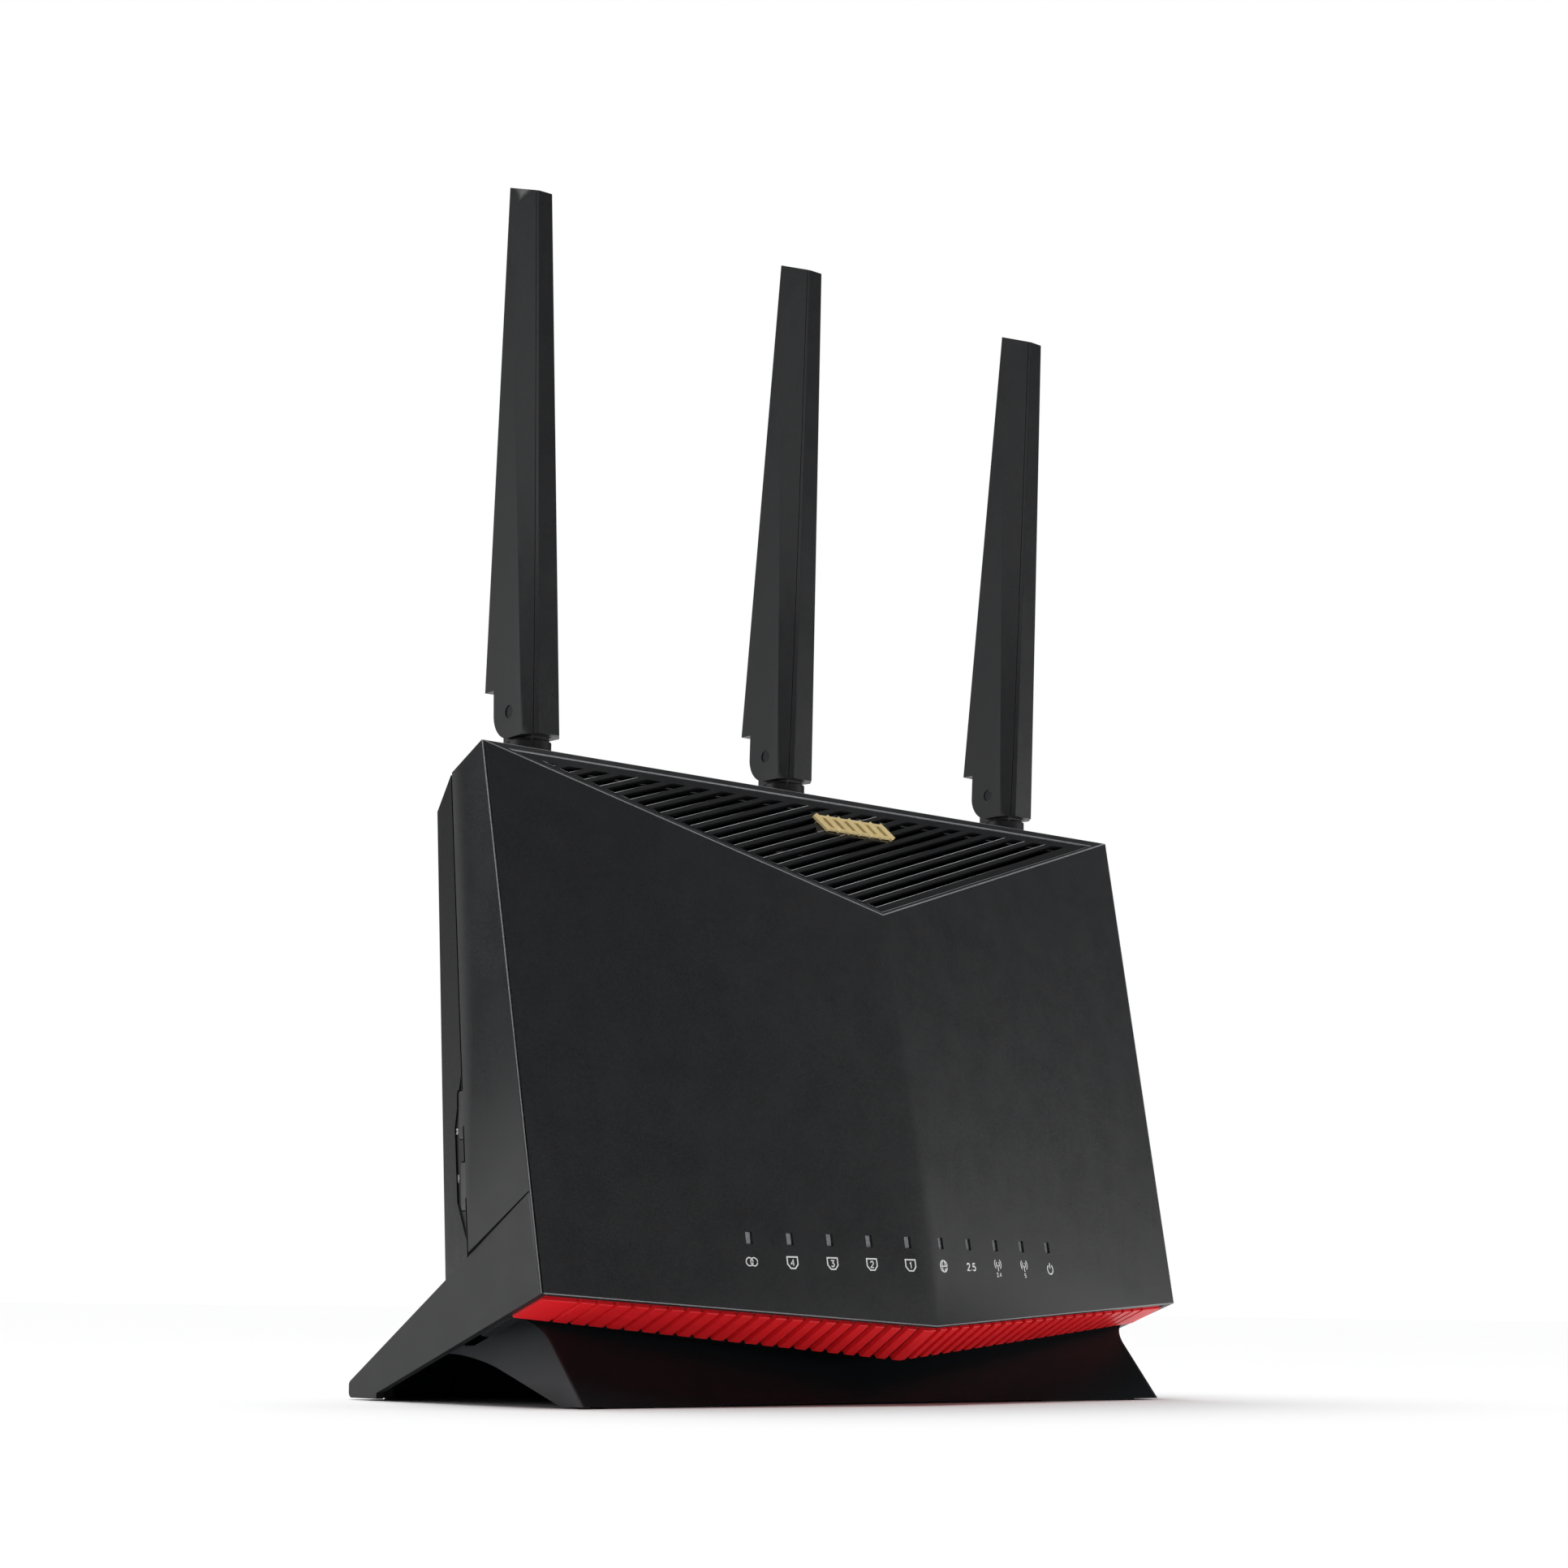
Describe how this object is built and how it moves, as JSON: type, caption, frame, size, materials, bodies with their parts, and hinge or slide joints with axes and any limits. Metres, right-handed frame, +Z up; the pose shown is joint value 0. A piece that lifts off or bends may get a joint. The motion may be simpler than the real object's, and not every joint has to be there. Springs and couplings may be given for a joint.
{
  "type": "wireless router",
  "caption": "Upright faceted wireless router on a splayed stand, with folding blade aerials, sloping vent grille, red chevron trim, indicator lights, side buttons and rear network sockets.",
  "frame": {"origin": "on the table, under the middle of the footprint", "axes": "+X to the right end seen from the front, +Y to the back, +Z up along the raised aerials"},
  "size_m": [0.2422, 0.1, 0.3264],
  "materials": {
    "case_front": "fine matte texture",
    "case_rear": "fine matte texture",
    "wing": "fine matte texture",
    "stand": "fine matte texture",
    "grille": "matte with lighter bar edges",
    "gold": "satin gold",
    "accent_red": "satin red, ribbed",
    "pads": "matte rubber",
    "screw_steel": "plain",
    "pin_black": "black steel pin",
    "printed_marks": "printed icons",
    "circuit_board": "solder mask",
    "chip": "moulded",
    "thermal_pad": "soft pad",
    "heat_sink": "extruded",
    "shield": "tinned",
    "component": "moulded",
    "capacitor": "sleeved can",
    "led": "diffuse",
    "light_guide": "translucent",
    "ribbon": "flat cable",
    "socket_black": "moulded",
    "socket_fast": "moulded",
    "contact_gold": "plated",
    "inlet_pin": "plated",
    "panel": "fine matte texture",
    "button": "fine matte texture",
    "aerial": "fine matte texture",
    "aerial_front": "fine matte texture",
    "swivel": "moulded",
    "lead": "coaxial lead",
    "radiator_board": "solder mask"
  },
  "bodies": {
    "case": {"accent_trim": "accent_red", "aerial_lead_plugs": "contact_gold", "aerial_leads": "lead", "base_keel": "stand", "board_screws": "screw_steel", "capacitors": "capacitor", "case_screws": "screw_steel", "connector_panel": "panel", "dc_inlet": "socket_black", "dc_inlet_pin": "inlet_pin", "fast_network_socket": "socket_fast", "front_feet": "pads", "front_shell": "case_front", "grille_badge": "gold", "heat_sink": "heat_sink", "heat_sink_screws": "screw_steel", "indicator_board": "circuit_board", "indicator_board_screws": "screw_steel", "indicator_leds": "led", "indicator_ribbon": "ribbon", "lan_sockets": "socket_black", "left_wing": "wing", "light_guides": "light_guide", "main_board": "circuit_board", "network_transformers": "component", "power_switch": "component", "processor": "chip", "radio_and_memory_chips": "chip", "rear_cover": "case_rear", "rear_feet": "pads", "reset_switch": "component", "right_wing": "wing", "shield_cans": "shield", "side_switch_board": "circuit_board", "socket_contacts": "contact_gold", "tail_panel": "stand", "thermal_pads": "thermal_pad", "top_grille": "grille"},
    "left_swivel": {"left_aerial_swivel": "swivel", "left_aerial_ring": "screw_steel"},
    "left_blade": {"left_aerial_blade": "aerial", "left_aerial_front_strip": "aerial_front", "left_aerial_radiator": "radiator_board", "left_aerial_hinge_pin": "pin_black"},
    "middle_swivel": {"middle_aerial_swivel": "swivel", "middle_aerial_ring": "screw_steel"},
    "middle_blade": {"middle_aerial_blade": "aerial", "middle_aerial_front_strip": "aerial_front", "middle_aerial_radiator": "radiator_board", "middle_aerial_hinge_pin": "pin_black"},
    "right_swivel": {"right_aerial_swivel": "swivel", "right_aerial_ring": "screw_steel"},
    "right_blade": {"right_aerial_blade": "aerial", "right_aerial_front_strip": "aerial_front", "right_aerial_radiator": "radiator_board", "right_aerial_hinge_pin": "pin_black"},
    "power_button_key": {"power_button": "button"},
    "reset_button_key": {"reset_button": "button"},
    "pairing_button_key": {"pairing_button": "button"},
    "indicator_button_key": {"indicator_button": "button"}
  },
  "joints": [
    {"name": "left_aerial_swivel_turn", "type": "hinge", "parent": "case", "child": "left_swivel", "pos_m": [-0.0929, 0.0118, 0.16], "axis": [0, 0, 1], "range_deg": [-80, 80]},
    {"name": "left_aerial_fold", "type": "hinge", "parent": "left_swivel", "child": "left_blade", "pos_m": [-0.0929, 0.0132, 0.1796], "axis": [-0.9997, 0, -0.0244], "range_deg": [-2.3, 87.7]},
    {"name": "middle_aerial_swivel_turn", "type": "hinge", "parent": "case", "child": "middle_swivel", "pos_m": [0, 0.0118, 0.16], "axis": [0, 0, 1], "range_deg": [-80, 80]},
    {"name": "middle_aerial_fold", "type": "hinge", "parent": "middle_swivel", "child": "middle_blade", "pos_m": [0, 0.0132, 0.1796], "axis": [-1, 0, 0], "range_deg": [0, 90]},
    {"name": "right_aerial_swivel_turn", "type": "hinge", "parent": "case", "child": "right_swivel", "pos_m": [0.0929, 0.0118, 0.16], "axis": [0, 0, 1], "range_deg": [-80, 80]},
    {"name": "right_aerial_fold", "type": "hinge", "parent": "right_swivel", "child": "right_blade", "pos_m": [0.0929, 0.0132, 0.1796], "axis": [-0.9998, 0, 0.0175], "range_deg": [0, 90]},
    {"name": "power_button_press", "type": "slide", "parent": "case", "child": "power_button_key", "axis": [0, -1, 0], "range_m": [0, 0.002], "stiffness_N_per_m": 600},
    {"name": "reset_button_press", "type": "slide", "parent": "case", "child": "reset_button_key", "axis": [0, -1, 0], "range_m": [0, 0.0005], "stiffness_N_per_m": 800},
    {"name": "pairing_button_press", "type": "slide", "parent": "case", "child": "pairing_button_key", "axis": [1, 0, 0], "range_m": [0, 0.0007], "stiffness_N_per_m": 800},
    {"name": "indicator_button_press", "type": "slide", "parent": "case", "child": "indicator_button_key", "axis": [1, 0, 0], "range_m": [0, 0.0007], "stiffness_N_per_m": 800}
  ]
}
